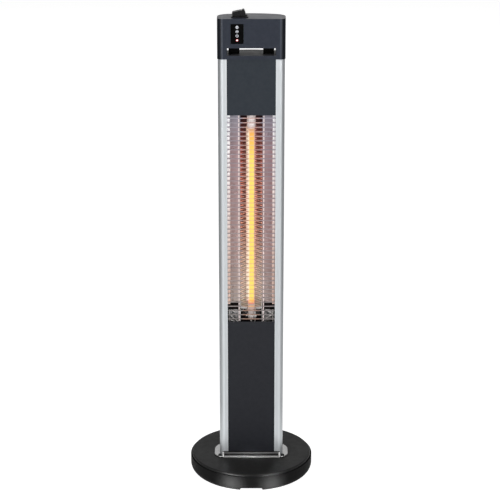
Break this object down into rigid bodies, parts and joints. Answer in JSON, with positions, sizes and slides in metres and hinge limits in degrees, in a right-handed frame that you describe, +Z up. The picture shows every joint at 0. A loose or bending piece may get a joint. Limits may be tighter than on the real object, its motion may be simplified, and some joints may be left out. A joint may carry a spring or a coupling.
{
  "type": "infrared patio heater",
  "caption": "Free-standing infrared patio heater: slim column with a guarded quartz lamp, round weighted foot, head with handle slot, indicator window and rocker switch.",
  "frame": {"origin": "centre of the round foot, on the floor plane under its rubber pads", "axes": "+Z up along the column, -Y out of the front with the lamp, +X to the viewer's right"},
  "size_m": [0.285, 0.285, 1.093],
  "materials": {
    "foot_black": "fine black powder texture with a soft sheen",
    "iron": "rough cast iron",
    "pad_rubber": "black rubber",
    "zinc_steel": "zinc-plated fasteners",
    "spring_steel": "drawn spring wire",
    "polished_flange": "polished silver metal",
    "black_screw": "black pan-head screws",
    "die_cast": "raw die-cast alloy",
    "rail_alloy": "satin silver anodised aluminium",
    "rear_paint": "dark matte powder coat",
    "upper_slate": "matte slate-grey paint",
    "lower_slate": "matte dark grey paint",
    "plated_sheet": "plated sheet steel",
    "mirror_sheet": "bright rolled reflector sheet",
    "guard_steel": "bright steel wire",
    "quartz": "clear quartz",
    "glowing_coil": "glowing heating coil",
    "ceramic": "steatite ceramic",
    "lead_sleeve": "braided glass-fibre sleeve",
    "tip_white": "cream nylon",
    "tip_red": "red plastic",
    "switch_black": "black plastic",
    "gland_black": "black nylon",
    "floor_gloss": "glossy dark grey-brown plastic",
    "post_black": "glossy black plastic",
    "head_charcoal": "matte charcoal plastic",
    "window_black": "clear black window",
    "mark_white": "white light guides",
    "lens_red": "lit red lens",
    "board_green": "green circuit board",
    "relay_blue": "blue relay cases",
    "can_black": "sleeved capacitor",
    "terminal_brass": "tinned brass blades"
  },
  "bodies": {
    "tower": {"base_shell": "foot_black", "base_feet": "pad_rubber", "base_weight": "iron", "base_cover": "foot_black", "base_bolts": "zinc_steel", "tip_guide": "tip_white", "tip_spring": "spring_steel", "tip_switch": "switch_black", "foot_flange": "polished_flange", "flange_screws": "black_screw", "foot_block": "die_cast", "left_rail": "rail_alloy", "right_rail": "rail_alloy", "rear_cover": "rear_paint", "rear_cover_screws": "zinc_steel", "rail_screws": "zinc_steel", "lower_panel": "lower_slate", "upper_panel": "upper_slate", "chassis_spine": "plated_sheet", "spine_screws": "zinc_steel", "reflector": "mirror_sheet", "lamp_bracket_bottom": "plated_sheet", "lamp_bracket_top": "plated_sheet", "quartz_tube": "quartz", "heating_element": "glowing_coil", "lamp_cap_bottom": "ceramic", "lamp_cap_top": "ceramic", "lamp_leads": "lead_sleeve", "thermal_cutout": "ceramic", "terminal_block": "tip_white", "guard_grille": "guard_steel", "cord_gland": "gland_black", "top_block": "die_cast", "head_plinth": "floor_gloss", "left_post": "post_black", "right_post": "post_black", "handle_liner": "head_charcoal", "head_shell": "head_charcoal", "head_screws": "zinc_steel", "shell_screws": "black_screw", "display_window": "window_black", "light_guides": "mark_white", "power_lens": "lens_red", "indicator_board": "board_green", "power_board": "board_green", "power_relays": "relay_blue", "board_capacitor": "can_black", "switch_bezel": "switch_black", "switch_body": "switch_black", "switch_terminals": "terminal_brass", "rocker_pin": "zinc_steel"},
    "rocker": {"rocker": "switch_black"},
    "tip_plunger": {"tip_plunger": "tip_red"}
  },
  "joints": [
    {"name": "rocker_tilt", "type": "hinge", "parent": "tower", "child": "rocker", "pos_m": [-0.0252, -0.009, 1.074], "axis": [0, 1, 0], "range_deg": [0, 24]},
    {"name": "tip_plunger_slide", "type": "slide", "parent": "tower", "child": "tip_plunger", "axis": [0, 0, 1], "range_m": [-0.004, 0], "stiffness_N_per_m": 60, "springref_m": -0.008, "deforming": ["tip_spring"]}
  ]
}
